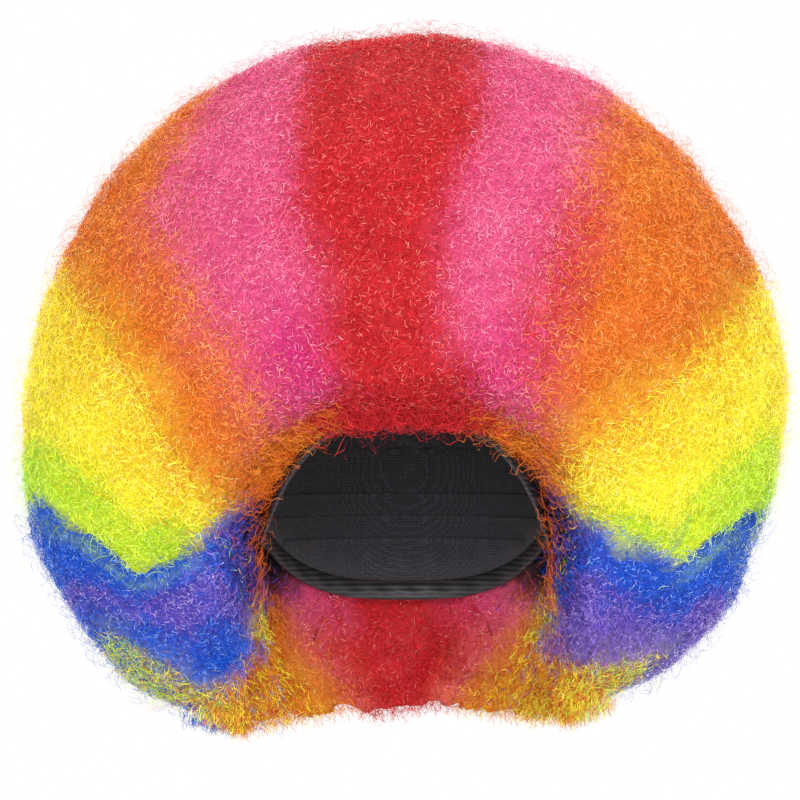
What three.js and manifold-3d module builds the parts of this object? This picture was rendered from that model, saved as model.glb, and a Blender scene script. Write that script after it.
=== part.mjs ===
// A jumbo rainbow afro wig, in millimetres: +Z up, the front opening towards -Y.
// The origin is the inside of the cap at the crown, the place that it rests on.
// Crimped hair is sewn to a stretch cap with an elastic edge, in strips of one colour each. The strips run
// from the hairline over the crown to the nape, and stand out as one ball that is open in front and below.
// Left and right are as seen from the front: left is -X.

import * as THREE from "three";
import { mergeVertices } from "three/addons/utils/BufferGeometryUtils.js";
import Module from "manifold-3d";

const wasm = await Module();
wasm.setup();

// Block that the cap is cut for: a dome above the widest level, and sections below it
const DOME_HEIGHT = 86;
const BLOCK_SECTIONS = [
  { drop: 86, halfWidth: 76, front: 95, back: 98 },
  { drop: 120, halfWidth: 75, front: 91, back: 90 },
  { drop: 155, halfWidth: 71, front: 80, back: 73 },
  { drop: 190, halfWidth: 69, front: 74, back: 66 },
  { drop: 260, halfWidth: 69, front: 74, back: 66 },
];

// Cap and elastic edge
const CAP_TURNS = 28;
const CAP_RINGS = 8;
const CAP_WALL = 2;
const EDGE_WIDTH = 10;
const FIT_GAP = 0.3; // between pieces that touch
const HOLLOW_RINGS = [0, 0.14, 0.42, 1]; // shares of the way from the edge down to the last section
const CAP_EDGE = [
  { turn: 0, drop: 50 }, // middle of the front edge
  { turn: 28, drop: 53 },
  { turn: 52, drop: 80 }, // corner of the front edge
  { turn: 76, drop: 112 }, // front of the side tab
  { turn: 100, drop: 112 }, // back of the side tab
  { turn: 125, drop: 131 },
  { turn: 152, drop: 143 },
  { turn: 180, drop: 145 }, // nape
];

// Ball of hair: its outline from the front by clock angle from the top, and its depth by tilt from level
const BALL_CENTRE = new THREE.Vector3(0, 10, -48);
const OUTLINE = [
  { clock: 0, left: 191, right: 191 },
  { clock: 30, left: 192, right: 193 },
  { clock: 60, left: 193, right: 195 },
  { clock: 90, left: 199, right: 200 },
  { clock: 110, left: 207, right: 198 },
  { clock: 125, left: 207, right: 201 },
  { clock: 140, left: 204, right: 194 },
  { clock: 152, left: 191, right: 184 },
  { clock: 166, left: 175, right: 173 },
  { clock: 180, left: 172, right: 172 },
];
const BALL_FULLNESS = 2.2; // 2 is a plain ellipsoid
const DEPTH = [
  { tilt: -90, front: 80, back: 165 },
  { tilt: -50, front: 97, back: 165 },
  { tilt: -20, front: 126, back: 171 },
  { tilt: 5, front: 150, back: 175 },
  { tilt: 40, front: 156, back: 176 },
  { tilt: 90, front: 150, back: 170 },
];

// Locks: round tufts spread evenly over the ball, each a dome on the backing
const LOCK_COUNT = 190;
const LOCK_RELIEF = 7;
const LOCK_SPREAD = 0.19; // radius of a tuft, in radians about the ball's centre
const BALL_DETAIL = 10; // splits of each icosahedron edge
const STAND_OUT_BLEND = 0.6; // forward share of a direction from which a strip stands out in full

// Hairline of one side, from the middle of the front down to the hem, and the roll of hair round it
const HAIRLINE = [
  { across: 0, drop: 60, depth: 92 },
  { across: 25, drop: 61, depth: 87 },
  { across: 42, drop: 64, depth: 77 },
  { across: 57, drop: 74, depth: 64 },
  { across: 67, drop: 91, depth: 49 },
  { across: 72, drop: 112, depth: 36 },
  { across: 74, drop: 140, depth: 24 },
  { across: 77, drop: 170, depth: 14 },
  { across: 84, drop: 200, depth: 8 },
  { across: 92, drop: 260, depth: 4 },
];
const ROLL_WIDTH = 42;
const ROLL_STEPS = 5;
const OPENING_INNER_Y = 20; // where the front opening ends inside the hollow
const OPENING_INNER_INSET = 6;
const OPENING_OUTER_Y = -260;

// Seam line that the strips fan out from: it falls from behind the hairline, through the hollow, to the back
const SEAM = [
  { y: -160, z: -112 },
  { y: -100, z: -134 },
  { y: -60, z: -161 },
  { y: -20, z: -177 },
  { y: 50, z: -222 },
  { y: 100, z: -272 },
  { y: 200, z: -385 },
];
const STRIP_STATIONS = [260, 150, 60, 10, -30, -60, -90, -125, -200];
const STRIP_REACH = 450; // beyond the ball on every side
const STRIP_GAP_DEG = 0.1;

// Strips from the parting down to the nape, and how far the front of each stands out from the ball
const STRIPS = [
  { name: "red", standOut: 0, colour: 0xd3202a },
  { name: "pink", standOut: 0, colour: 0xe8497f },
  { name: "orange", standOut: 0, colour: 0xea6a1c },
  { name: "yellow", standOut: 0, colour: 0xf7d51f },
  { name: "green", standOut: 0, colour: 0x86d629 },
  { name: "blue", standOut: -6, colour: 0x1656cf },
  { name: "purple", standOut: -6, colour: 0x6a45b0 },
  { name: "low_blue", standOut: -6, colour: 0x1f58b8 },
  { name: "low_green", standOut: -6, colour: 0xb4c43a },
];

// Outer edge of each strip: its angle about the seam line, in degrees from straight up, at these distances
const EDGE_REACH = [72, 88, 110, 140, 180, 235, 330];
const NAPE = EDGE_REACH.map(() => 177); // where the two sides meet below
const LEFT_EDGES = {
  red: [41, 24, 22, 18, 18, 14, 9],
  pink: [44, 46, 43, 41, 38, 34, 16],
  orange: [68, 70, 69, 62, 53, 46, 37],
  yellow: [71, 73, 75, 77, 68, 60, 53],
  green: [74, 76, 79, 81, 73, 65, 58],
  blue: [77, 80, 83, 85, 80, 74, 68],
  purple: [82, 87, 93, 88, 82, 79, 75],
  low_blue: [100, 105, 104, 92, 85, 82, 79],
  low_green: NAPE,
};
const RIGHT_EDGES = {
  red: [38, 24, 12, 8, 8, 10, 7],
  pink: [42, 46, 38, 30, 29, 23, 20],
  orange: [54, 57, 58, 57, 54, 48, 38],
  yellow: [60, 64, 73, 76, 66, 60, 53],
  green: [66, 71, 77, 80, 72, 65, 58],
  blue: [74, 77, 84, 87, 78, 73, 68],
  purple: [88, 98, 97, 92, 85, 81, 77],
  low_green: NAPE,
};

const radians = THREE.MathUtils.degToRad;
const degrees = THREE.MathUtils.radToDeg;

// A smooth curve through one column of a table.
function curve(rows, along, value) {
  const spline = new THREE.CubicInterpolant(
    rows.map((row) => row[along]),
    rows.map((row) => row[value]),
    1,
    [],
  );
  return (at) => spline.evaluate(at)[0];
}

// Closed solid from a geometry whose faces point out.
function solidOf(geometry) {
  geometry.deleteAttribute("normal");
  geometry.deleteAttribute("uv");
  const merged = mergeVertices(geometry, 1e-3);
  return new wasm.Manifold(
    new wasm.Mesh({
      numProp: 3,
      vertProperties: new Float32Array(merged.attributes.position.array),
      triVerts: new Uint32Array(merged.index.array),
    }),
  );
}

// Adds the quad between two places of two rings. It is split from the lower of the two places, so that
// neighbours with a common wall split it alike.
function addQuad(faces, upper, lower, j, next) {
  const [a, b, c, d] = [upper + next, upper + j, lower + j, lower + next];
  if (j < next) faces.push(a, b, d, b, c, d);
  else faces.push(a, b, c, a, c, d);
}

// Geometry that joins rings of points, one after the other, and closes both ends with fans.
function loft(rings) {
  const size = rings[0].length;
  const points = rings.flat();
  const faces = [];
  const middle = (ring) => ring.reduce((sum, p) => sum.add(p), new THREE.Vector3()).divideScalar(size);
  const first = points.push(middle(rings[0])) - 1;
  const last = points.push(middle(rings.at(-1))) - 1;
  const end = (rings.length - 1) * size;
  for (let j = 0; j < size; j++) {
    const next = (j + 1) % size;
    for (let i = 0; i < end; i += size) addQuad(faces, i, i + size, j, next);
    faces.push(first, j, next);
    faces.push(last, end + next, end + j);
  }
  const geometry = new THREE.BufferGeometry().setFromPoints(points);
  return geometry.setIndex(faces);
}

const blockWidth = curve(BLOCK_SECTIONS, "drop", "halfWidth");
const blockFront = curve(BLOCK_SECTIONS, "drop", "front");
const blockBack = curve(BLOCK_SECTIONS, "drop", "back");
const capEdgeDrop = curve(CAP_EDGE, "turn", "drop");

// Point of the block, a distance out from its surface: turn 0 is the front, 180 the back.
function blockPoint(drop, turn, out) {
  const inDome = drop < DOME_HEIGHT;
  const domeAngle = inDome ? Math.acos(1 - drop / DOME_HEIGHT) : Math.PI / 2;
  const level = inDome ? DOME_HEIGHT : drop;
  const share = Math.sin(domeAngle);
  const reach = Math.cos(turn) > 0 ? blockFront(level) : blockBack(level);
  return new THREE.Vector3(
    (blockWidth(level) + out) * share * Math.sin(turn),
    -(reach + out) * share * Math.cos(turn),
    inDome ? (DOME_HEIGHT + out) * Math.cos(domeAngle) - DOME_HEIGHT : -drop,
  );
}

// Rings round the block, from just under the crown to the cap's edge.
const turns = [...Array(CAP_TURNS).keys()].map((j) => (j * 2 * Math.PI) / CAP_TURNS);
const edgeDrop = (turn) => capEdgeDrop(degrees(Math.abs(turn > Math.PI ? turn - 2 * Math.PI : turn)));
const ringAt = (dropAt, out) => turns.map((turn) => blockPoint(dropAt(turn), turn, out));

function domeRings(out) {
  const rings = [];
  for (let i = 1; i <= CAP_RINGS; i++) {
    const share = 1 - Math.cos((i / CAP_RINGS) * (Math.PI / 2));
    rings.push(ringAt((turn) => share * edgeDrop(turn), out));
  }
  return rings;
}

// The stretch cap: a cloth wall, open in front and below.
function capSolid() {
  const inside = domeRings(0).reverse();
  return solidOf(loft([...domeRings(CAP_WALL), ...inside]));
}

// The elastic edge: a band that carries on from the cap's edge all round.
function edgeSolid() {
  const top = (turn) => edgeDrop(turn) + FIT_GAP;
  const foot = (turn) => edgeDrop(turn) + EDGE_WIDTH;
  const section = [ringAt(top, CAP_WALL), ringAt(foot, CAP_WALL), ringAt(foot, 0), ringAt(top, 0)];
  const points = section.flat();
  const faces = [];
  for (let i = 0; i < section.length; i++) {
    const a = i * CAP_TURNS;
    const b = ((i + 1) % section.length) * CAP_TURNS;
    for (let j = 0; j < CAP_TURNS; j++) addQuad(faces, a, b, j, (j + 1) % CAP_TURNS);
  }
  return solidOf(new THREE.BufferGeometry().setFromPoints(points).setIndex(faces));
}

// Space that the cap and its hollow take out of the hair, down to below the hem.
function hollowSpace() {
  const out = CAP_WALL + FIT_GAP;
  const low = BLOCK_SECTIONS.at(-1).drop;
  const rings = domeRings(out);
  for (const share of HOLLOW_RINGS) {
    rings.push(ringAt((turn) => THREE.MathUtils.lerp(edgeDrop(turn) + EDGE_WIDTH, low, share), out));
  }
  return solidOf(loft(rings));
}

const outlineLeft = curve(OUTLINE, "clock", "left");
const outlineRight = curve(OUTLINE, "clock", "right");
const depthFront = curve(DEPTH, "tilt", "front");
const depthBack = curve(DEPTH, "tilt", "back");

// Distance from the ball's centre to its surface in a direction, without the locks.
function ballReach(d) {
  const clock = degrees(Math.atan2(Math.abs(d.x), d.z));
  const tilt = degrees(Math.asin(THREE.MathUtils.clamp(d.z, -1, 1)));
  const outline = d.x < 0 ? outlineLeft(clock) : outlineRight(clock);
  const depth = d.y < 0 ? depthFront(tilt) : depthBack(tilt);
  const across = (Math.hypot(d.x, d.z) / outline) ** BALL_FULLNESS;
  const along = (Math.abs(d.y) / depth) ** BALL_FULLNESS;
  return (across + along) ** (-1 / BALL_FULLNESS);
}

// Tips of the locks, spread over the ball on a golden spiral.
const GOLDEN_ANGLE = Math.PI * (3 - Math.sqrt(5));
const lockTips = [...Array(LOCK_COUNT).keys()].map((i) => {
  const z = 1 - (2 * i + 1) / LOCK_COUNT;
  const r = Math.sqrt(1 - z * z);
  return new THREE.Vector3(r * Math.cos(i * GOLDEN_ANGLE), r * Math.sin(i * GOLDEN_ANGLE), z);
});

// Height of the locks over the backing: the tallest dome that covers the direction.
function lockHeight(d) {
  const nearest = Math.min(...lockTips.map((tip) => d.angleTo(tip)));
  return LOCK_RELIEF * (Math.max(0, 1 - (nearest / LOCK_SPREAD) ** 2) - 0.5);
}

// The ball of hair with its locks, its front set forward or back.
function ballSolid(standOut) {
  const geometry = new THREE.IcosahedronGeometry(1, BALL_DETAIL);
  const place = geometry.attributes.position;
  const d = new THREE.Vector3();
  for (let i = 0; i < place.count; i++) {
    d.fromBufferAttribute(place, i).normalize();
    const forward = THREE.MathUtils.smoothstep(-d.y, 0, STAND_OUT_BLEND);
    const reach = ballReach(d) + lockHeight(d) + standOut * forward;
    d.multiplyScalar(reach).add(BALL_CENTRE);
    place.setXYZ(i, d.x, d.y, d.z);
  }
  return solidOf(geometry);
}

// Front of the plain ball over a point of the front view.
function ballFront(x, z) {
  let near = BALL_CENTRE.y;
  let far = OPENING_OUTER_Y;
  for (let i = 0; i < 24; i++) {
    const y = (near + far) / 2;
    const from = new THREE.Vector3(x, y, z).sub(BALL_CENTRE);
    const inside = from.length() < ballReach(from.clone().normalize());
    if (inside) near = y;
    else far = y;
  }
  return near;
}

// The front opening: the hairline's arch, rolled outwards as it comes forward, so that the hair ends in a
// round lip. It is open below, between the two sides.
function frontOpening() {
  const half = HAIRLINE.slice(1);
  const mirrored = half.map((row) => ({ ...row, across: -row.across })).reverse();
  const arch = [...mirrored, ...HAIRLINE];
  const outward = arch.map((row, i) => {
    const a = arch[Math.max(0, i - 1)];
    const b = arch[Math.min(arch.length - 1, i + 1)];
    return new THREE.Vector2(b.drop - a.drop, b.across - a.across).normalize();
  });
  const ring = (offset, yAt) =>
    arch.map((row, i) => {
      const x = row.across + outward[i].x * offset;
      const z = -row.drop + outward[i].y * offset;
      return new THREE.Vector3(x, yAt(row, i), z);
    });
  const lip = arch.map((row, i) => {
    const front = ballFront(row.across + outward[i].x * ROLL_WIDTH, -row.drop + outward[i].y * ROLL_WIDTH);
    return Math.max(ROLL_WIDTH / 2, -row.depth - front) + LOCK_RELIEF;
  });
  const rings = [ring(-OPENING_INNER_INSET, () => OPENING_INNER_Y)];
  for (let i = 0; i <= ROLL_STEPS; i++) {
    const angle = (i / ROLL_STEPS) * (Math.PI / 2);
    rings.push(
      ring(ROLL_WIDTH * (1 - Math.cos(angle)), (row, j) => -row.depth - lip[j] * Math.sin(angle)),
    );
  }
  rings.push(ring(ROLL_WIDTH, () => OPENING_OUTER_Y));
  return solidOf(loft(rings));
}

const seamHeight = curve(SEAM, "y", "z");

// Wedge of space between two edges of strips, swept along the seam line.
function seamWedge(from, to) {
  const trim = STRIP_GAP_DEG / 2;
  const reaches = [...EDGE_REACH, STRIP_REACH];
  const wall = (edge, shift) =>
    reaches.map((reach, i) => {
      const angle = radians(edge[Math.min(i, edge.length - 1)] + shift);
      return new THREE.Vector3(reach * Math.sin(angle), 0, reach * Math.cos(angle));
    });
  const start = wall(from, trim);
  const end = wall(to, -trim);
  const middle = start.at(-1).clone().add(end.at(-1)).setLength(STRIP_REACH);
  const section = [new THREE.Vector3(), ...start, middle, ...end.reverse()];
  const rings = STRIP_STATIONS.map((y) => {
    const seam = new THREE.Vector3(0, y, seamHeight(y));
    return section.map((point) => point.clone().add(seam));
  });
  return solidOf(loft(rings));
}

// Largest body of a solid, without the crumbs that a cut can leave.
function mainBody(solid) {
  return solid.decompose().sort((a, b) => b.volume() - a.volume())[0];
}

function meshOf(name, solid, material) {
  const { numProp, vertProperties, triVerts } = solid.getMesh();
  const geometry = new THREE.BufferGeometry();
  geometry.setAttribute("position", new THREE.BufferAttribute(new Float32Array(vertProperties), numProp));
  geometry.setIndex(new THREE.BufferAttribute(new Uint32Array(triVerts), 1));
  geometry.computeVertexNormals();
  const mesh = new THREE.Mesh(geometry, material);
  mesh.name = name;
  return mesh;
}

const netMaterial = new THREE.MeshStandardMaterial({ color: 0x1b1a1d, roughness: 0.9 });
const elasticMaterial = new THREE.MeshStandardMaterial({ color: 0x121214, roughness: 0.75 });
const fibreMaterial = (colour) => new THREE.MeshStandardMaterial({ color: colour, roughness: 0.6 });

function hairGroup() {
  const group = new THREE.Group();
  const cutters = hollowSpace().add(frontOpening());
  const mirrored = (edge) => edge.map((angle) => -angle);
  let leftAbove;
  let rightAbove;
  for (const strip of STRIPS) {
    const hair = ballSolid(strip.standOut).subtract(cutters);
    const material = fibreMaterial(strip.colour);
    const addStrip = (name, from, to) => {
      group.add(meshOf(name, mainBody(hair.intersect(seamWedge(from, to))), material));
    };
    const left = LEFT_EDGES[strip.name];
    const right = RIGHT_EDGES[strip.name];
    if (leftAbove) {
      addStrip(`hair_${strip.name}_left`, mirrored(left), mirrored(leftAbove));
      if (right) addStrip(`hair_${strip.name}_right`, rightAbove, right);
    } else {
      addStrip(`hair_${strip.name}`, mirrored(left), right);
    }
    leftAbove = left;
    rightAbove = right ?? rightAbove;
  }
  return group;
}

const wig = new THREE.Group();
wig.add(meshOf("wig_cap", capSolid(), netMaterial));
wig.add(meshOf("edge_elastic", edgeSolid(), elasticMaterial));
wig.add(hairGroup());

export default wig;
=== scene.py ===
# Jumbo rainbow afro wig: an undercoat for each strip of hair, crimped fibres over it, and a stretch cap
import math
import bmesh
import bpy
import numpy as np
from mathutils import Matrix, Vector, noise
from mathutils.bvhtree import BVHTree
from mathutils.kdtree import KDTree


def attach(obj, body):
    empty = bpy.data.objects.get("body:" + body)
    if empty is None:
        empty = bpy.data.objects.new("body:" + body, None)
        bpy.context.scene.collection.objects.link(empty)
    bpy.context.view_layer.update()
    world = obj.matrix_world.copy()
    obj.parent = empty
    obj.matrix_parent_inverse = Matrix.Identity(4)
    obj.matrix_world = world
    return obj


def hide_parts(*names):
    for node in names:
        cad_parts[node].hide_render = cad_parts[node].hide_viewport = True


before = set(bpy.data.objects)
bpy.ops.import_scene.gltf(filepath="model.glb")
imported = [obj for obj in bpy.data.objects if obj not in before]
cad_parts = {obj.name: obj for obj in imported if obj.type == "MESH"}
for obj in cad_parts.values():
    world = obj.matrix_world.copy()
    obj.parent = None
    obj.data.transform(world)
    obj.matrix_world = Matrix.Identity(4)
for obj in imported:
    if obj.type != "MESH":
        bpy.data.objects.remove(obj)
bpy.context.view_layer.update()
mm = 0.001
nodeNames = sorted(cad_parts)
hairNames = [name for name in nodeNames if name.startswith("hair_")]
print("frame loaded with", len(nodeNames), "solids")


# small helpers for colours, nodes and pieces
def toLinear(hexColour):
    parts = [int(hexColour[i:i + 2], 16) / 255 for i in (1, 3, 5)]
    return tuple(c / 12.92 if c <= 0.04045 else ((c + 0.055) / 1.055) ** 2.4 for c in parts) + (1.0,)


def addNode(tree, kind, values=None, links=None, **settings):
    node = tree.nodes.new(kind)
    for name, value in settings.items():
        setattr(node, name, value)
    for key, value in (values or {}).items():
        node.inputs[key].default_value = value
    for key, socket in (links or {}).items():
        tree.links.new(socket, node.inputs[key])
    return node


def newMaterial(name, colour, roughness):
    material = bpy.data.materials.new(name)
    material.use_nodes = True
    tree = material.node_tree
    face = tree.nodes["Principled BSDF"]
    face.inputs["Base Color"].default_value = toLinear(colour)
    face.inputs["Roughness"].default_value = roughness
    return material, tree, face


def addPiece(name, mesh, replaced=None):
    piece = bpy.data.objects.new(name, mesh)
    bpy.context.scene.collection.objects.link(piece)
    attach(piece, "root")
    if replaced:
        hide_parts(replaced)
    return piece


def meshFromArrays(name, points, quads):
    mesh = bpy.data.meshes.new(name)
    mesh.vertices.add(len(points))
    mesh.vertices.foreach_set("co", points.astype(np.float32).ravel())
    mesh.loops.add(quads.size)
    mesh.loops.foreach_set("vertex_index", quads.astype(np.int32).ravel())
    mesh.polygons.add(len(quads))
    mesh.polygons.foreach_set("loop_start", np.arange(0, quads.size, 4, dtype=np.int32))
    mesh.update()
    mesh.shade_smooth()
    return mesh


# dyes of the modacrylic hair, from a deep tone, used also for painted shade, to the glint, a pale painted
# highlight, and how far fibres stray
dyes = {
    "red": {"slot": "fibre_red", "deep": "#960814", "body": "#BE121C", "light": "#D4262C",
            "paintedGlint": "#F7A48C", "stray": 6 * mm},
    "pink": {"slot": "fibre_pink", "deep": "#CB2276", "body": "#D84E7E", "light": "#E67C9C",
             "paintedGlint": "#FBC8CE", "stray": 7 * mm},
    "orange": {"slot": "fibre_orange", "deep": "#C2480A", "body": "#D96A14", "light": "#E6962E",
               "paintedGlint": "#FBD196", "stray": 13 * mm},
    "yellow": {"slot": "fibre_yellow", "deep": "#E8C418", "body": "#F6E426", "light": "#FCEE54",
               "paintedGlint": "#FFF9BC", "stray": 9 * mm},
    "green": {"slot": "fibre_green", "deep": "#66B01C", "body": "#B6E42C", "light": "#E2F24E",
              "paintedGlint": "#F2FBB0", "stray": 9 * mm},
    "blue": {"slot": "fibre_blue", "deep": "#032C88", "body": "#034CC6", "light": "#146AE2",
             "paintedGlint": "#B4D2FA", "stray": 4.5 * mm},
    "purple": {"slot": "fibre_purple", "deep": "#40298A", "body": "#6846B2", "light": "#9678D4",
               "paintedGlint": "#E4D8F6", "stray": 5.5 * mm},
}
bodies = {colour: np.array(toLinear(dye["body"])) for colour, dye in dyes.items()}


def dyeOf(name):
    return [colour for colour in dyes if colour in name][0]


# matted fibre: crimped threads packed flat, seen as wandering lines between the loose ones, and
# drawn coarser than real threads, so that they show; away from the lines its dye is darkened as painted shade
matted = {"roughness": 0.6, "gloss": 0.2, "spacing": 3 * mm, "wander": 1.2, "line": 0.06, "shade": 0.62,
          "thread": 1.05, "bump": 0.6, "raised": 0.5 * mm}


def undercoatMaterial(colour):
    name = f"matted modacrylic {colour}"
    material, tree, face = newMaterial(name, dyes[colour]["body"], matted["roughness"])
    face.inputs["Specular IOR Level"].default_value = matted["gloss"]
    # the dye colours hold the dyes with painted shade by the cap and painted light along the red hairline
    dye = addNode(tree, "ShaderNodeVertexColor", layer_name="dye")
    place = addNode(tree, "ShaderNodeTexCoord")
    field = addNode(tree, "ShaderNodeTexNoise",
                    {"Scale": 1 / matted["spacing"], "Detail": 1.0, "Distortion": matted["wander"]},
                    {"Vector": place.outputs["Object"]})
    level = addNode(tree, "ShaderNodeMath", {1: 0.5}, {0: field.outputs["Fac"]}, operation="SUBTRACT")
    line = addNode(tree, "ShaderNodeMath", None, {0: level.outputs[0]}, operation="ABSOLUTE")
    thread = addNode(tree, "ShaderNodeMapRange", {"From Max": matted["line"], "To Min": 1.0, "To Max": 0.0},
                     {"Value": line.outputs[0]})
    # painted shade: away from the thread lines the undercoat's dye is darkened
    tone = addNode(tree, "ShaderNodeMapRange", {"To Min": matted["shade"], "To Max": matted["thread"]},
                   {"Value": thread.outputs[0]})
    shaded = addNode(tree, "ShaderNodeVectorMath", None, {0: dye.outputs["Color"], 1: tone.outputs[0]},
                     operation="MULTIPLY")
    bump = addNode(tree, "ShaderNodeBump", {"Strength": matted["bump"], "Distance": matted["raised"]},
                   {"Height": thread.outputs[0]})
    tree.links.new(shaded.outputs[0], face.inputs["Base Color"])
    tree.links.new(bump.outputs["Normal"], face.inputs["Normal"])
    return material


# loose fibre: its map runs across the tones of the dye up to the glint, a pale painted highlight, and along
# the fibre, darker at the root as painted shade; dull but for the glints
loose = {"roughness": 0.4, "gloss": 0.22, "bodyStop": 0.4, "lightStop": 0.85, "paintedRootShade": 0.7,
         "rootEnd": 0.6, "glintStart": 0.8, "dull": 0.5, "shiny": 0.22}


def fibreMaterial(colour):
    dye = dyes[colour]
    material, tree, face = newMaterial(f"crimped modacrylic {colour}", dye["body"], loose["roughness"])
    face.inputs["Specular IOR Level"].default_value = loose["gloss"]
    spot = addNode(tree, "ShaderNodeUVMap", uv_map="OFBake")
    parts = addNode(tree, "ShaderNodeSeparateXYZ", None, {0: spot.outputs["UV"]})
    ramp = addNode(tree, "ShaderNodeValToRGB", None, {0: parts.outputs["X"]})
    stops = ramp.color_ramp.elements
    stops[0].color = toLinear(dye["deep"])
    # the last stop is the glint, a pale painted highlight
    stops[1].color = toLinear(dye["paintedGlint"])
    stops.new(loose["bodyStop"]).color = toLinear(dye["body"])
    stops.new(loose["lightStop"]).color = toLinear(dye["light"])
    # painted shade: each fibre is darker towards its root
    root = addNode(tree, "ShaderNodeMapRange",
                   {"From Max": loose["rootEnd"], "To Min": loose["paintedRootShade"], "To Max": 1.0},
                   {"Value": parts.outputs["Y"]})
    shaded = addNode(tree, "ShaderNodeVectorMath", None, {0: ramp.outputs["Color"], 1: root.outputs[0]},
                     operation="MULTIPLY")
    gloss = addNode(tree, "ShaderNodeMapRange",
                    {"From Min": loose["glintStart"], "To Min": loose["dull"], "To Max": loose["shiny"]},
                    {"Value": parts.outputs["X"]})
    tree.links.new(shaded.outputs[0], face.inputs["Base Color"])
    tree.links.new(gloss.outputs[0], face.inputs["Roughness"])
    return material


undercoatMaterials = {colour: undercoatMaterial(colour) for colour in dyes}
fibreMaterials = {colour: fibreMaterial(colour) for colour in dyes}

# where each strip shows: faces with no other solid close in front of them
surface = {"merge": 0.02 * mm, "hidden": 2 * mm, "meet": 1.5 * mm, "join": 8 * mm, "agree": 0.3}


def mergedCopy(name):
    bm = bmesh.new()
    bm.from_mesh(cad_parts[name].data)
    bmesh.ops.remove_doubles(bm, verts=bm.verts, dist=surface["merge"])
    bm.normal_update()
    return bm


solids = {name: mergedCopy(name) for name in nodeNames}
trees = {name: BVHTree.FromBMesh(bm) for name, bm in solids.items()}


def covered(name, face, others):
    start = face.calc_center_median() + face.normal * surface["merge"]
    return any(trees[other].ray_cast(start, face.normal, surface["hidden"])[0]
               for other in others if other != name)


shown = [(name, face) for name in hairNames for face in solids[name].faces
         if not covered(name, face, nodeNames)]
shownCorners = np.array([[vert.co for vert in face.verts] for name, face in shown])
shownMiddles = shownCorners.mean(axis=1)
shownTree = BVHTree.FromPolygons(shownCorners.reshape(-1, 3).tolist(),
                                 np.arange(3 * len(shown)).reshape(-1, 3).tolist())
stripFaces = {name: [i for i, (owner, face) in enumerate(shown) if owner == name] for name in hairNames}
print("faces of hair that show:", len(shown))

# the way out of the hair at each corner, the same for strips that meet there
pulls = np.repeat(np.array([face.normal * face.calc_area() for name, face in shown]), 3, axis=0)
cornerTree = KDTree(len(pulls))
for i, corner in enumerate(shownCorners.reshape(-1, 3)):
    cornerTree.insert(corner, i)
cornerTree.balance()


def wayOut(co):
    meeting = pulls[[hit[1] for hit in cornerTree.find_range(co, surface["meet"])]].sum(axis=0)
    around = pulls[[hit[1] for hit in cornerTree.find_range(co, surface["join"])]]
    lengths = np.linalg.norm(around, axis=1) * np.linalg.norm(meeting)
    agreed = around[around @ meeting > surface["agree"] * lengths]
    return Vector(agreed.sum(axis=0) if len(agreed) else meeting).normalized()


# undercoat: the strip's own form, drawn in under the loose fibres, with its dye mixed into its neighbours',
# and with painted shade by the cap and painted light along the red hairline
undercoat = {"inset": 7 * mm, "thin": 0.72, "fit": 0.8, "least": 0.4 * mm, "lap": 1.0 * mm, "edge": 6 * mm,
             "rounds": 3, "smoothing": 5, "softness": 0.5, "lump": 1.2 * mm, "lumpSize": 8 * mm,
             "blend": 1.2, "mostMixed": 0.8, "ragged": 0.5, "raggedSize": 26 * mm, "underCanopy": 0.2}
ballSizes = [11.2 * mm, 9 * mm, 7 * mm, 5.5 * mm, 4 * mm, 3 * mm, 2 * mm, 1.2 * mm]
hem = {"top": -150 * mm, "reach": 12 * mm}


def sinkAt(co, out):  # less where only a small ball fits in under the surface, as at the hem
    for radius in ballSizes:
        gaps = [tree.find_nearest(co - out * radius)[3] for tree in (shownTree, trees["wig_cap"])]
        if min(gaps) > undercoat["fit"] * radius:
            return min(undercoat["inset"], undercoat["thin"] * radius)
    return undercoat["least"]


places = {name: {} for name in hairNames}
for name, face in shown:
    for vert in face.verts:
        if vert.index not in places[name]:
            out = wayOut(vert.co)
            places[name][vert.index] = (out, sinkAt(vert.co, out))
shownOut = np.array([[places[name][vert.index][0] for vert in face.verts] for name, face in shown])
firstSink = np.array([[places[name][vert.index][1] for vert in face.verts] for name, face in shown])


def evenSink(co, sink):  # the least sink near by, along the thin hem
    if co.z >= hem["top"]:
        return sink
    return min(firstSink.flat[hit[1]] for hit in cornerTree.find_range(co, hem["reach"]))


for name in hairNames:
    solids[name].verts.ensure_lookup_table()
    places[name] = {index: (out, evenSink(solids[name].verts[index].co, sink))
                    for index, (out, sink) in places[name].items()}
shownSink = np.array([[places[name][vert.index][1] for vert in face.verts] for name, face in shown])

# dyes that cross the strips, and zones of painted light and shade, with left and right as seen from the front
canopy = {"yellow", "green"}  # these hang over the blue and purple, and hardly mix with them
cool = {"blue", "purple"}
warm = {"pink", "orange"}
puffs = {"centres": ((-56 * mm, -33 * mm), (68 * mm, -38 * mm)), "size": 30 * mm}  # deeper pink, at (x, z)
hairline = {"full": 22 * mm, "none": 40 * mm, "red": 28 * mm, "orange": 58 * mm, "back": 8 * mm}
# beside the opening the hair is blue and purple under the canopy's edge, which is at these heights so far
# out from the middle, in millimetres
under = {"left": {"side": -1, "out": (67, 104), "height": (-91, -119), "full": 98, "none": 114},
         "right": {"side": 1, "out": (65, 73, 86, 106, 121, 141),
                   "height": (-77, -90, -107, -115, -122, -130), "full": 132, "none": 150},
         "soft": 8 * mm, "low": -150 * mm, "lowest": -168 * mm, "back": 60 * mm, "kept": 0.07,
         "purple": 0.5, "leastPurple": 0.1, "purpleEnd": 110 * mm, "purpleFade": 40 * mm}
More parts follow.
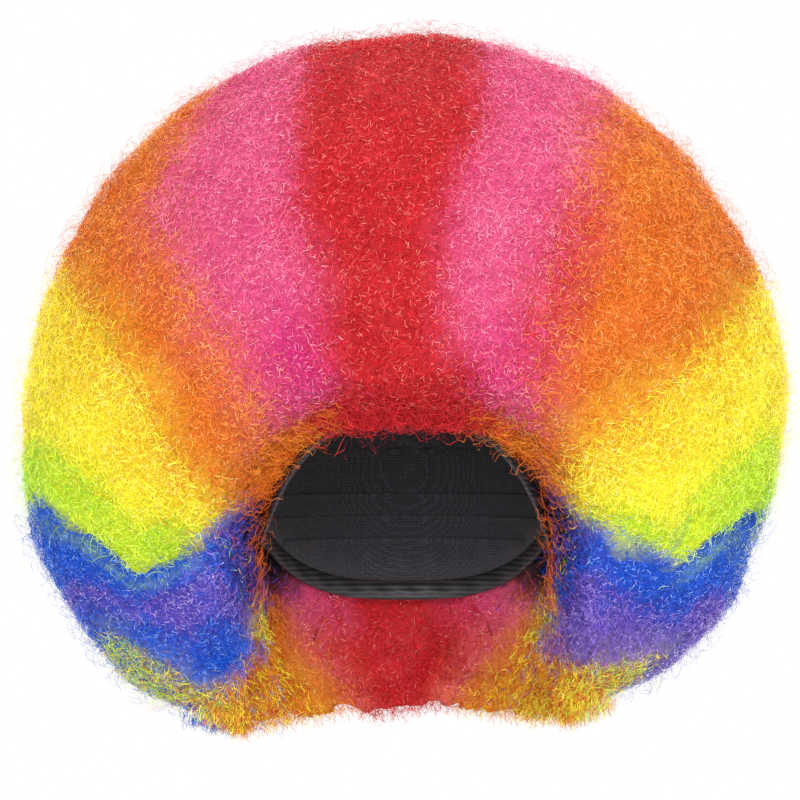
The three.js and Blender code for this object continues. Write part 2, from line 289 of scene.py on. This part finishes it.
# painted shadow: by the cap, under the canopy, the undercoat turns near-black and the fibres darker and fewer
shadow = {"full": 16 * mm, "none": 46 * mm, "back": 60 * mm,  # dark by the cap, under the canopy
          "shade": "#0A0714", "thin": 0.75, "tone": 0.25}
# a red flush between pink and orange, along a line from one (x, z) to another
flush = {"start": (89 * mm, 41 * mm), "end": (66 * mm, -20 * mm), "size": 18 * mm, "red": 0.55, "least": 0.02}
# share of each dye in the last strips: at the outer end, and at the inner one
mixes = {
    "hair_low_green_left": {"green": (0.7, 0.3), "yellow": (0.4, 0.4), "orange": (0.1, 0.5),
                            "red": (0.0, 0.2), "blue": (0.45, 0.0)},
    "hair_low_green_right": {"green": (0.6, 0.35), "yellow": (0.35, 0.3), "orange": (0.15, 0.4),
                             "red": (0.0, 0.2)},
}
mixEnds = {"inner": 90 * mm, "outer": 140 * mm}
# dyes close to the nape, and how far out they reach at these drops from the crown, in millimetres
nape = {"drop": (150, 178, 194), "reach": (70, 74, 94), "soft": 18 * mm, "top": -140 * mm, "low": -162 * mm}
napeDyes = {"orange": 0.5, "yellow": 0.28, "red": 0.22}
napeBody = sum(share * bodies[colour] for colour, share in napeDyes.items())


def nearPuff(points):
    flat = points[:, [0, 2]]
    gaps = [np.linalg.norm(flat - np.array(centre), axis=1) for centre in puffs["centres"]]
    return np.exp(-(np.min(gaps, axis=0) / puffs["size"]) ** 2) * (points[:, 1] < 0)


def nearEdge(points, zone):
    gaps = np.array([trees["edge_elastic"].find_nearest(Vector(point))[3] for point in points])
    share = np.clip((zone["none"] - gaps) / (zone["none"] - zone["full"]), 0, 1)
    return share * (points[:, 1] < zone["back"])


def nearHairline(points):
    return nearEdge(points, hairline)


def inShadow(points):
    return nearEdge(points, shadow)


def redShare(points):
    span = hairline["orange"] - hairline["red"]
    return np.clip((hairline["orange"] - np.abs(points[:, 0])) / span, 0, 1)


def byNape(points):
    reach = np.interp(-points[:, 2] / mm, nape["drop"], nape["reach"]) * mm
    close = np.clip((reach - np.abs(points[:, 0])) / nape["soft"] + 0.5, 0, 1)
    return close * np.clip((nape["top"] - points[:, 2]) / (nape["top"] - nape["low"]), 0, 1)


def facesHollow(points):  # 1 on the inner side of the hair, 0 outside
    outs = shownOut[[shownTree.find_nearest(Vector(point))[2] for point in points]].mean(axis=1)
    return 1.0 * ((outs[:, :2] * points[:, :2]).sum(axis=1) < 0)


def napeShare(points, colour):
    if colour in cool:
        return byNape(points)
    return byNape(points) * facesHollow(points) if colour in canopy else np.zeros(len(points))


def underCanopy(points):
    x, y, z = points.T
    share = np.zeros(len(points))
    for edge in (under["left"], under["right"]):
        out = x * edge["side"] / mm
        drop = np.interp(out, edge["out"], edge["height"]) * mm - z
        below = np.clip(drop / under["soft"] + 0.5, 0, 1)
        share += below * np.clip((edge["none"] - out) / (edge["none"] - edge["full"]), 0, 1) * (out > 0)
    share *= np.clip((z - under["lowest"]) / (under["low"] - under["lowest"]), 0, 1) * (y < under["back"])
    return share * (1 - byNape(points))


def purpleShare(points):
    fade = (under["purpleEnd"] - np.abs(points[:, 0])) / under["purpleFade"]
    return np.clip(fade, under["leastPurple"], under["purple"])


def inFlush(points):
    first, last, flat = np.array(flush["start"]), np.array(flush["end"]), points[:, [0, 2]]
    along = np.clip((flat - first) @ (last - first) / ((last - first) @ (last - first)), 0, 1)
    gaps = np.linalg.norm(flat - first - along[:, None] * (last - first), axis=1)
    return flush["red"] * np.exp(-(gaps / flush["size"]) ** 2) * (points[:, 1] < 0)


def mixShare(points, ends):
    span = mixEnds["outer"] - mixEnds["inner"]
    inward = np.clip((mixEnds["outer"] - np.abs(points[:, 0])) / span, 0, 1)
    return ends[0] + (ends[1] - ends[0]) * inward


def ownDyeWithPaintedLight(name, co):
    point, colour = np.array([co]), dyeOf(name)
    if name in mixes:
        shares = np.array([mixShare(point, ends)[0] for ends in mixes[name].values()])
        return shares @ np.array([bodies[part] for part in mixes[name]]) / shares.sum()
    own = bodies[colour].copy()
    own += (napeBody - own) * napeShare(point, colour)[0]
    if colour in warm:
        own += (bodies["red"] - own) * inFlush(point)[0]
    # painted light: red is lifted to its lighter tone near the hairline, where the hair turns down into the
    # opening
    if colour == "red":
        own += (np.array(toLinear(dyes["red"]["light"])) - own) * nearHairline(point)[0]
    if colour == "pink":
        own += (np.array(toLinear(dyes["pink"]["deep"])) - own) * nearPuff(point)[0]
        edge = bodies["orange"] + (bodies["red"] - bodies["orange"]) * redShare(point)[0]
        own += (edge - own) * nearHairline(point)[0]
    return own


def mixReach(name, other):
    dye, otherDye = dyeOf(name), dyeOf(other)
    reach = undercoat["blend"] * (dyes[dye]["stray"] + dyes[otherDye]["stray"])
    atCanopy = (dye in canopy) != (otherDye in canopy) and {dye, otherDye} & cool
    if atCanopy and name not in mixes and other not in mixes:
        reach *= undercoat["underCanopy"]
    return reach


def dyeWithPaintedLightAndShadeAt(name, co):
    parts, shares = [ownDyeWithPaintedLight(name, co)], [0.0]
    wander = noise.noise(co / undercoat["raggedSize"]) * undercoat["ragged"]
    for other in hairNames:
        if dyeOf(other) == dyeOf(name):
            continue
        reach = mixReach(name, other)
        gap = trees[other].find_nearest(co, reach * (1 + undercoat["ragged"]))[3]
        if gap is not None:
            shift = wander if name < other else -wander
            parts.append(ownDyeWithPaintedLight(other, co))
            shares.append(min(max(0.5 - 0.5 * (gap / reach + shift), 0), undercoat["mostMixed"]))
    shares[0] = 1 - max(shares)
    mixed = np.array(shares) @ np.array(parts) / sum(shares)
    point = np.array([co])
    deep = bodies["blue"] + (bodies["purple"] - bodies["blue"]) * purpleShare(point)[0]
    # painted shadow: near-black by the cap, under the canopy
    deep += (np.array(toLinear(shadow["shade"])) - deep) * inShadow(point)[0]
    return mixed + (deep - mixed) * underCanopy(point)[0]


def sinkStrip(bm, name, outside):
    bm.verts.ensure_lookup_table()
    beside = {face.index for face in bm.faces if not face[outside] and covered(name, face, hairNames)}
    moves = []
    for index, (out, sink) in places[name].items():  # the border laps over the next strip's, so no gap shows
        walls = [face.normal for face in bm.verts[index].link_faces if face.index in beside]
        lap = sum(walls, Vector()) * undercoat["lap"] / max(len(walls), 1)
        moves.append((bm.verts[index], lap - out * sink))
    for vert in bm.verts:  # slivers that a neighbour hides sink with it
        if vert.index not in places[name] and all(face.index in beside for face in vert.link_faces):
            place, normal, i, gap = shownTree.find_nearest(vert.co)
            depth = shownSink[i].mean() - gap
            if depth > 0:
                moves.append((vert, -Vector(shownOut[i].mean(axis=0)) * depth))
    for vert, move in moves:
        vert.co += move


def softenStrip(bm, outside):
    for step in range(undercoat["rounds"]):
        edges = [edge for edge in bm.edges if edge.calc_length() > undercoat["edge"]
                 and any(face[outside] for face in edge.link_faces)]
        bmesh.ops.subdivide_edges(bm, edges=edges, cuts=1)
        bmesh.ops.triangulate(bm, faces=[face for face in bm.faces if len(face.verts) > 3])
    soft = [vert for vert in bm.verts if all(face[outside] for face in vert.link_faces)]
    for step in range(undercoat["smoothing"]):
        bmesh.ops.smooth_vert(bm, verts=soft, factor=undercoat["softness"],
                              use_axis_x=True, use_axis_y=True, use_axis_z=True)
    bm.normal_update()
    for vert in soft:
        vert.co += vert.normal * noise.noise(vert.co / undercoat["lumpSize"]) * undercoat["lump"]


def paintStripDyeLightAndShade(bm, name, outside):
    # the dye layer holds the dyes with painted shade by the cap and painted light along the red hairline
    paint = bm.verts.layers.float_color.new("dye")
    for vert in bm.verts:
        near = shownTree.find_nearest(vert.co, 2 * undercoat["inset"])[0]
        vert[paint] = dyeWithPaintedLightAndShadeAt(name, vert.co) if near else bodies[dyeOf(name)]
    for face in bm.faces:
        face.smooth = True
    for edge in bm.edges:  # the border is shaded like the strip's outside alone
        edge.smooth = len({face[outside] for face in edge.link_faces}) == 1


def makeUndercoat(name):
    bm = solids[name].copy()
    bm.faces.ensure_lookup_table()
    outside = bm.faces.layers.int.new("outside")
    for i in stripFaces[name]:
        bm.faces[shown[i][1].index][outside] = 1
    sinkStrip(bm, name, outside)
    softenStrip(bm, outside)
    paintStripDyeLightAndShade(bm, name, outside)
    mesh = bpy.data.meshes.new(f"{name}_undercoat")
    bm.to_mesh(mesh)
    bm.free()
    mesh.materials.append(undercoatMaterials[dyeOf(name)])
    addPiece(f"{name}_undercoat", mesh, name)
    return len(mesh.polygons)


print("undercoat triangles:", sum(makeUndercoat(name) for name in hairNames))

# loose fibres: short crests of crimp that cover the undercoat, glints on them (short pale fibres, painted
# highlights), thin strays that stand out as a halo, frizz that hangs over the hairline, and a fringe along
# the hem
fibres = {"width": 0.3 * mm, "tip": 0.55, "twist": 1.5, "flatTwist": 0.8, "crimp": (0.4, 1.1),
          "crimpLift": 0.6, "frontShare": 1.8, "frontEdge": 30 * mm, "crossing": 0.25, "mixStray": 5 * mm}
crests = {"perSquareMetre": 205000, "points": 3, "length": (3.4 * mm, 8 * mm), "turn": 2.0,
          "bed": (-7.4 * mm, -3.2 * mm), "slope": 2.2 * mm, "crimp": 0.5 * mm, "twist": 0.7, "width": 1.0}
# the glints are pale painted highlights: short fibres at the pale top of the map, more of them on blue and
# purple
paintedGlints = {"perSquareMetre": 66000, "more": {"blue": 1.6, "purple": 1.8}, "points": 2,
          "length": (1.2 * mm, 3.2 * mm), "turn": 0.0, "bed": (-4 * mm, -2.2 * mm), "slope": 0.6 * mm,
          "crimp": 0.0, "twist": 0.5, "width": 0.95}
strays = {"perSquareMetre": 36000, "points": 5, "length": (8 * mm, 16 * mm), "turn": 2.4, "root": -7 * mm,
          "lowest": -3 * mm, "lift": 3.4 * mm, "highest": 4.5 * mm, "arch": 0.6, "crimp": 0.9 * mm,
          "width": 0.45}
frizz = {"perSquareMetre": 300000, "points": 7, "length": (9 * mm, 19 * mm), "turn": 2.8, "root": -1.5 * mm,
         "aside": 3 * mm, "lift": 2 * mm, "arch": 0.8, "crimp": 1.0 * mm, "width": 0.7}
fringe = {"perSquareMetre": 260000, "points": 5, "length": (4 * mm, 9 * mm), "turn": 2.2, "root": -0.5 * mm,
          "outward": 0.6, "down": 0.8, "aside": 0.35, "roll": 0.5, "crimp": 0.8 * mm, "width": 0.75,
          "thin": 3 * mm, "below": -150 * mm, "stray": 3 * mm}
# the glint range of these tones is the pale painted highlight
tones = {"middle": 0.47, "clump": 0.28, "clumpSize": 24 * mm, "spread": 0.19, "least": 0.02, "most": 0.86,
         "puff": 0.85, "hairline": 0.85, "paintedLightShare": 0.7, "paintedGlint": (0.86, 0.98), "mapEdge": 0.02}
coolFaces = np.array([dyeOf(name) in cool for name, face in shown])
canopyFaces = np.array([dyeOf(name) in canopy for name, face in shown])


def unit(vectors):
    return vectors / np.linalg.norm(vectors, axis=1, keepdims=True)


def sampleRoots(rng, picked, density, stray):
    corners = shownCorners[picked]
    first, second = corners[:, 1] - corners[:, 0], corners[:, 2] - corners[:, 0]
    areas = np.linalg.norm(np.cross(first, second), axis=1) / 2
    weight = areas * np.where(shownMiddles[picked][:, 1] < fibres["frontEdge"], fibres["frontShare"], 1.0)
    count = int(weight.sum() * density)
    pick = rng.choice(len(areas), count, p=weight / weight.sum())
    u, v = rng.random(count), rng.random(count)
    over = u + v > 1
    u[over], v[over] = 1 - u[over], 1 - v[over]
    spots = (corners[pick] * np.stack([1 - u - v, u, v], axis=1)[:, :, None]).sum(axis=1)
    away = np.cross(shownOut[picked][pick].mean(axis=1), rng.normal(size=(count, 3)))
    spots += unit(away) * rng.normal(0, stray, (count, 1))
    hits = [shownTree.find_nearest(Vector(spot)) for spot in spots]
    landed = np.array([hit[2] for hit in hits])
    crossed = coolFaces[np.array(picked)[pick]] != coolFaces[landed]  # few stray over the canopy's edge
    stays = np.flatnonzero(~crossed | (rng.random(count) < fibres["crossing"]))
    base, faces = np.array([hits[i][0] for i in stays]), landed[stays]
    gaps = np.linalg.norm(shownCorners[faces] - base[:, None], axis=2) + 0.01 * mm  # never nought
    shares = 1 / gaps / (1 / gaps).sum(axis=1, keepdims=True)
    up = unit((shownOut[faces] * shares[:, :, None]).sum(axis=1))
    side = unit(np.cross(up, rng.normal(size=(len(stays), 3))))
    depth = (shownSink[faces] * shares).sum(axis=1)[:, None] / undercoat["inset"]
    return base, up, side, np.cross(up, side), depth


def ribbons(rng, roots, style, height, angle):
    base, up, side, ahead, depth = roots
    count, s = len(base), np.linspace(0, 1, style["points"])
    step = rng.uniform(*style["length"], (count, 1)) / (len(s) - 1)
    heading = rng.normal(0, style["turn"], (count, 1)) * (s - 0.5)
    along = np.cumsum(np.cos(heading) * step, axis=1) - step
    across = np.cumsum(np.sin(heading) * step, axis=1)
    zigzag = np.where(np.arange(len(s)) % 2 == 0, 1.0, -1.0) * style["crimp"]
    across += zigzag * rng.uniform(*fibres["crimp"], (count, len(s)))
    lift = rng.uniform(-fibres["crimpLift"], fibres["crimpLift"], (count, 1))
    height = height * np.where(height < 0, depth, 1.0) + zigzag * lift
    path = (base[:, None] + ahead[:, None] * along[:, :, None] + side[:, None] * across[:, :, None]
            + up[:, None] * height[:, :, None])
    half = np.full((len(s), 1), fibres["width"] / 2 * style["width"])
    half[[0, -1]] *= fibres["tip"]
    wide = side[:, None] * np.cos(angle)[:, :, None] + up[:, None] * np.sin(angle)[:, :, None]
    points = np.stack([path - wide * half, path + wide * half], axis=2).reshape(-1, 3)
    first = (np.arange(count) * len(s) * 2)[:, None] + np.arange(len(s) - 1) * 2
    quads = np.stack([first, first + 1, first + 3, first + 2], axis=2).reshape(-1, 4)
    owners = np.repeat(np.arange(count), len(s) - 1)
    spans = np.tile(np.stack([s[:-1], s[1:]], axis=1), (count, 1))
    return points, quads, owners, spans


def shadesOf(rng, base, colour):
    clump = np.array([noise.noise(Vector(point) / tones["clumpSize"]) for point in base])
    shade = tones["middle"] + tones["clump"] * clump + rng.normal(0, tones["spread"], len(base))
    shade = np.clip(shade, tones["least"], tones["most"])
    if colour == "pink":
        shade *= 1 - tones["puff"] * nearPuff(base)
    # painted light: red fibres are lifted to a lighter tone near the hairline, where the hair turns down into
    # the opening
    if colour == "red":
        shade += (tones["hairline"] - shade) * tones["paintedLightShare"] * nearHairline(base)
    return np.maximum(shade, tones["least"])


def layFibres(rng, picked, colour, style, chance, stray):
    density = style["perSquareMetre"] * style.get("more", {}).get(colour, 1.0)
    roots = sampleRoots(rng, picked, density, stray)
    kept = rng.random(len(roots[0])) < chance(roots[0])
    base, up, side, ahead, depth = roots = tuple(part[kept] for part in roots)
    count, s = len(base), np.linspace(0, 1, style["points"])
    if style is strays:
        tip = np.minimum(style["lowest"] + rng.exponential(style["lift"], (count, 1)), style["highest"])
        height = style["root"] + (tip - style["root"]) * np.sin(s * math.pi * style["arch"])
    elif style is frizz:
        seats = np.array([trees["edge_elastic"].find_nearest(Vector(point))[0] for point in base])
        side = unit(np.cross(seats - base + rng.normal(0, style["aside"], (count, 3)), up))
        roots = (base, up, side, np.cross(up, side), depth)
        lift = rng.exponential(style["lift"], (count, 1))
        height = style["root"] + lift * np.sin(s * math.pi * style["arch"])
    elif style is fringe:
        hang = up * style["outward"] - np.array((0, 0, style["down"]))
        ahead = hang + rng.normal(0, style["aside"], (count, 3))
        side = unit(np.cross(ahead, up + rng.normal(0, style["roll"], (count, 3))))
        ahead = unit(ahead)
        roots = (base, np.cross(side, ahead), side, ahead, depth)
        height = np.full((count, len(s)), style["root"])
    else:
        bed = rng.uniform(*style["bed"], (count, 1))
        slope = rng.normal(0, style["slope"], (count, 1))
        height = bed + slope * (s - 0.5) + style["slope"] / 2 * np.sin(math.pi * s)
    if "twist" in style:
        angle = rng.normal(0, style["twist"], (count, 1)) + s * rng.normal(0, fibres["flatTwist"], (count, 1))
    else:
        angle = rng.uniform(0, math.pi, (count, 1)) + s * rng.normal(0, fibres["twist"], (count, 1))
    # glints take the pale painted highlight at the top of the map, other fibres the dye's tones
    shade = rng.uniform(*tones["paintedGlint"], count) if style is paintedGlints else shadesOf(rng, base, colour)
    # painted shadow: by the cap, under the canopy, fibres turn towards the dye's deep tone
    shade *= 1 - (1 - shadow["tone"]) * inShadow(base) * underCanopy(base)
    return ribbons(rng, roots, style, height, angle), shade


def hemFaces(picked):
    return [i for i in picked
            if shownSink[i].min() < fringe["thin"] and shownCorners[i, 0, 2] < fringe["below"]]


fibreCounts = []


# one mesh of fibres, whose map runs over the shades across and from root to tip upwards
def makeFibres(piece, colour, seed, picked, styles, chance, stray=None):
    rng = np.random.default_rng(seed)
    parts = []
    for style in styles:
        faces, reach = (hemFaces(picked), fringe["stray"]) if style is fringe else (picked, stray)
        if len(faces):
            parts.append(layFibres(rng, faces, colour, style, chance, reach or dyes[colour]["stray"]))
    points = np.concatenate([part[0] for part, shade in parts])
    offsets = np.cumsum([0] + [len(part[0]) for part, shade in parts])
    quads = np.concatenate([part[1] + offset for (part, shade), offset in zip(parts, offsets)])
    edge = tones["mapEdge"]
    shades = np.concatenate([shade[part[2]] for part, shade in parts])
    spans = np.concatenate([part[3] for part, shade in parts])
    u = shades[:, None] + np.array([-1, 1, 1, -1]) * edge / 2
    v = spans[:, [0, 0, 1, 1]] * (1 - 2 * edge) + edge
    mesh = meshFromArrays(piece, points, quads)
    layer = mesh.uv_layers.new(name="OFBake")
    layer.uv.foreach_set("vector", np.stack([u, v], axis=-1).astype(np.float32).ravel())
    mesh.materials.append(fibreMaterials[colour])
    addPiece(piece, mesh)
    fibreCounts.append(len(quads) * 2)


def ownShare(base, colour):
    share = 1 - (1 - under["kept"]) * napeShare(base, colour)
    if colour not in cool:
        share *= 1 - (1 - under["kept"]) * underCanopy(base)
    return share * (1 - inFlush(base)) if colour in warm else share


# fewer fibres in the painted shadow by the cap, so that its near-black undercoat shows
def shadedShare(base):
    return underCanopy(base) * (1 - shadow["thin"] * inShadow(base))


coat = (crests, paintedGlints, strays, fringe)
seeds = {"strips": 11, "hairlineRed": 31, "hairlineOrange": 32, "underBlue": 33, "underPurple": 34,
         "nape": 41, "flush": 45, "mixes": 51, "mixStep": 7}
for i, name in enumerate(hairNames):
    if name in mixes:
        for j, (colour, ends) in enumerate(mixes[name].items()):
            seed = seeds["mixes"] + seeds["mixStep"] * i + j
            makeFibres(f"{name}_{colour}_fibres", colour, seed, stripFaces[name], coat,
                       lambda base, ends=ends: mixShare(base, ends), fibres["mixStray"])
    elif dyeOf(name) == "pink":
        makeFibres(f"{name}_fibres", "pink", seeds["strips"] + i, stripFaces[name], coat,
                   lambda base: (1 - nearHairline(base)) * ownShare(base, "pink"))
    else:
        makeFibres(f"{name}_fibres", dyeOf(name), seeds["strips"] + i, stripFaces[name], coat,
                   lambda base, colour=dyeOf(name): ownShare(base, colour))

closeToEdge = np.flatnonzero(nearHairline(shownMiddles) > 0)
makeFibres("hairline_red_fibres", "red", seeds["hairlineRed"], closeToEdge, (crests, paintedGlints, frizz),
           lambda base: nearHairline(base) * redShare(base))
makeFibres("hairline_orange_fibres", "orange", seeds["hairlineOrange"], closeToEdge, (crests, paintedGlints, frizz),
           lambda base: nearHairline(base) * (1 - redShare(base)) * ownShare(base, "orange"))

cornersUnder = underCanopy(shownCorners.reshape(-1, 3)).reshape(-1, 3)
below = np.flatnonzero((cornersUnder.max(axis=1) > 0) & ~coolFaces)
makeFibres("under_canopy_blue_fibres", "blue", seeds["underBlue"], below, (crests, paintedGlints, strays),
           lambda base: shadedShare(base) * (1 - purpleShare(base)))
makeFibres("under_canopy_purple_fibres", "purple", seeds["underPurple"], below, (crests, paintedGlints, strays),
           lambda base: shadedShare(base) * purpleShare(base))

coolByNape = napeShare(shownMiddles, "blue") * coolFaces
canopyByNape = napeShare(shownMiddles, "green") * canopyFaces
closeToNape = np.flatnonzero(coolByNape + canopyByNape > 0)
for j, (colour, share) in enumerate(napeDyes.items()):
    makeFibres(f"nape_{colour}_fibres", colour, seeds["nape"] + j, closeToNape, coat,
               lambda base, share=share: byNape(base) * share, fibres["mixStray"])

flushed = np.flatnonzero(inFlush(shownMiddles) > flush["least"])
makeFibres("flush_red_fibres", "red", seeds["flush"], flushed, (crests, paintedGlints), inFlush)
print("fibre triangles:", sum(fibreCounts), "most in one piece:", max(fibreCounts))

# knitted net: thin threads round small holes, dull black
knit = {"colour": "#242226", "roughness": 0.85, "hole": 1.5 * mm, "uneven": 0.35, "thread": 0.08, "open": 0.2,
        "dark": "#121114", "pale": "#2E2B31", "bump": 0.6, "raised": 0.4 * mm}


def netMaterial():
    material, tree, face = newMaterial("knitted stretch net", knit["colour"], knit["roughness"])
    place = addNode(tree, "ShaderNodeTexCoord")
    cells = addNode(tree, "ShaderNodeTexVoronoi", {"Scale": 1 / knit["hole"], "Randomness": knit["uneven"]},
                    {"Vector": place.outputs["Object"]}, feature="DISTANCE_TO_EDGE")
    thread = addNode(tree, "ShaderNodeMapRange",
                     {"From Min": knit["thread"], "From Max": knit["open"], "To Min": 1.0, "To Max": 0.0},
                     {"Value": cells.outputs["Distance"]})
    tone = addNode(tree, "ShaderNodeMix", {6: toLinear(knit["dark"]), 7: toLinear(knit["pale"])},
                   {0: thread.outputs[0]}, data_type="RGBA")
    bump = addNode(tree, "ShaderNodeBump", {"Strength": knit["bump"], "Distance": knit["raised"]},
                   {"Height": thread.outputs[0]})
    tree.links.new(tone.outputs[2], face.inputs["Base Color"])
    tree.links.new(bump.outputs["Normal"], face.inputs["Normal"])
    return material


# woven elastic: fine ribs round the band, with a slight shine
ribbed = {"colour": "#161518", "roughness": 0.6, "rib": 1.4 * mm, "uneven": 0.4, "dark": "#0D0C0E",
          "pale": "#2C2A2E", "bump": 0.5, "raised": 0.4 * mm}


def elasticMaterial():
    material, tree, face = newMaterial("woven elastic", ribbed["colour"], ribbed["roughness"])
    place = addNode(tree, "ShaderNodeTexCoord")
    ribs = addNode(tree, "ShaderNodeTexWave",
                   {"Scale": 1 / ribbed["rib"] / (2 * math.pi), "Distortion": ribbed["uneven"]},
                   {"Vector": place.outputs["Object"]}, bands_direction="Z")
    tone = addNode(tree, "ShaderNodeMix", {6: toLinear(ribbed["dark"]), 7: toLinear(ribbed["pale"])},
                   {0: ribs.outputs["Fac"]}, data_type="RGBA")
    bump = addNode(tree, "ShaderNodeBump", {"Strength": ribbed["bump"], "Distance": ribbed["raised"]},
                   {"Height": ribs.outputs["Fac"]})
    tree.links.new(tone.outputs[2], face.inputs["Base Color"])
    tree.links.new(bump.outputs["Normal"], face.inputs["Normal"])
    return material


# cap and elastic: the solids' own forms, smoothed between their sharp edges
cloth = {"sharp": 0.6, "levels": 1}


def makeCapPiece(name, material):
    mesh = bpy.data.meshes.new(f"{name}_cloth")
    solids[name].to_mesh(mesh)
    mesh.shade_smooth()
    mesh.materials.append(material)
    piece = addPiece(f"{name}_cloth", mesh, name)
    smooth = piece.modifiers.new("smooth", "SUBSURF")
    smooth.levels = smooth.render_levels = cloth["levels"]
    creases = [1.0 if edge.calc_face_angle(0) > cloth["sharp"] else 0.0 for edge in solids[name].edges]
    mesh.attributes.new("crease_edge", "FLOAT", "EDGE").data.foreach_set("value", creases)


net = netMaterial()
makeCapPiece("wig_cap", net)
makeCapPiece("edge_elastic", elasticMaterial())

# wefts: sewn tracks that carry the hair, in rows round the inside of the cap
wefts = {"first": -16 * mm, "step": -12 * mm, "rows": 10, "turns": 96, "height": 1.6 * mm, "depth": 1.1 * mm,
         "reach": 200 * mm}


def weftTrack(bm, z):
    track = []
    for turn in range(wefts["turns"]):
        angle = 2 * math.pi * turn / wefts["turns"]
        ray = Vector((math.sin(angle), -math.cos(angle), 0))
        hit = trees["wig_cap"].ray_cast(Vector((0, 0, z)), ray, wefts["reach"])[0]
        if hit:
            track.append(bm.verts.new(hit - ray * wefts["depth"] + Vector((0, 0, wefts["height"]))))
        else:  # the opening at the front
            track.append(None)
    for first, second in zip(track, track[1:] + track[:1]):
        if first and second:
            bm.edges.new((first, second))


def makeWefts():
    bm = bmesh.new()
    for row in range(wefts["rows"]):
        weftTrack(bm, wefts["first"] + row * wefts["step"])
    bmesh.ops.delete(bm, geom=[vert for vert in bm.verts if not vert.link_edges], context="VERTS")
    sewn = bmesh.ops.extrude_edge_only(bm, edges=bm.edges[:])["geom"]
    bmesh.ops.translate(bm, verts=[item for item in sewn if isinstance(item, bmesh.types.BMVert)],
                        vec=(0, 0, -2 * wefts["height"]))
    bm.normal_update()
    turned = [face for face in bm.faces if face.normal.xy.dot(face.calc_center_median().xy) > 0]
    bmesh.ops.reverse_faces(bm, faces=turned)
    bmesh.ops.solidify(bm, geom=bm.faces[:], thickness=wefts["depth"])
    bmesh.ops.recalc_face_normals(bm, faces=bm.faces[:])
    mesh = bpy.data.meshes.new("cap_wefts")
    bm.to_mesh(mesh)
    bm.free()
    mesh.materials.append(net)
    addPiece("cap_wefts", mesh)


makeWefts()
print("cap, elastic and wefts made")

# stage: a pale floor far enough below that every side of the wig can be seen
stage = {"floor": -2.6, "radius": 4.0, "sides": 64, "colour": "#F4F4F4", "roughness": 0.9}


def makeFloor():
    bm = bmesh.new()
    bmesh.ops.create_circle(bm, cap_ends=True, segments=stage["sides"], radius=stage["radius"])
    bmesh.ops.translate(bm, verts=bm.verts, vec=(0, 0, stage["floor"]))
    mesh = bpy.data.meshes.new("floor")
    bm.to_mesh(mesh)
    bm.free()
    mesh.materials.append(newMaterial("matt white paper", stage["colour"], stage["roughness"])[0])
    floor = bpy.data.objects.new("floor", mesh)
    bpy.context.scene.collection.objects.link(floor)


makeFloor()

# lamps: large soft discs, all turned to the middle of the wig
lampAim = Vector((0, 0, -50 * mm))
lamps = {
    "key": {"place": (-0.4, -2.4, 0.6), "size": 1.2, "power": 51},
    "fill": {"place": (1.4, -1.9, 0.2), "size": 1.4, "power": 24},
    "top": {"place": (0, 0.3, 1.9), "size": 1.2, "power": 16},
    "back": {"place": (0.5, 2.2, 0.5), "size": 1.2, "power": 15},
    "low": {"place": (0, -2.2, -0.9), "size": 1.0, "power": 9},
}


def addLamp(name, lamp):
    data = bpy.data.lights.new(name, "AREA")
    data.shape = "DISK"
    data.size = lamp["size"]
    data.energy = lamp["power"]
    disc = bpy.data.objects.new(name, data)
    disc.location = lamp["place"]
    disc.rotation_euler = (lampAim - Vector(lamp["place"])).to_track_quat("-Z", "Y").to_euler()
    bpy.context.scene.collection.objects.link(disc)


for name, lamp in lamps.items():
    addLamp(name, lamp)

world = bpy.data.worlds.new("white room")
world.use_nodes = True
world.node_tree.nodes["Background"].inputs["Color"].default_value = (1, 1, 1, 1)
world.node_tree.nodes["Background"].inputs["Strength"].default_value = 1.0
bpy.context.scene.world = world
bpy.context.scene.view_settings.view_transform = "Standard"

view = {"distance": 2.2, "x": -2.6 * mm, "z": -48 * mm, "lens": 191.0, "sensor": 36.0}
camera = bpy.data.cameras.new("camera")
camera.lens = view["lens"]
camera.sensor_width = view["sensor"]
cameraObject = bpy.data.objects.new("camera", camera)
cameraObject.location = (view["x"], -view["distance"], view["z"])
cameraObject.rotation_euler = (math.pi / 2, 0, 0)
bpy.context.scene.collection.objects.link(cameraObject)
bpy.context.scene.camera = cameraObject
print("stage, lamps and camera set")

for bm in solids.values():
    bm.free()
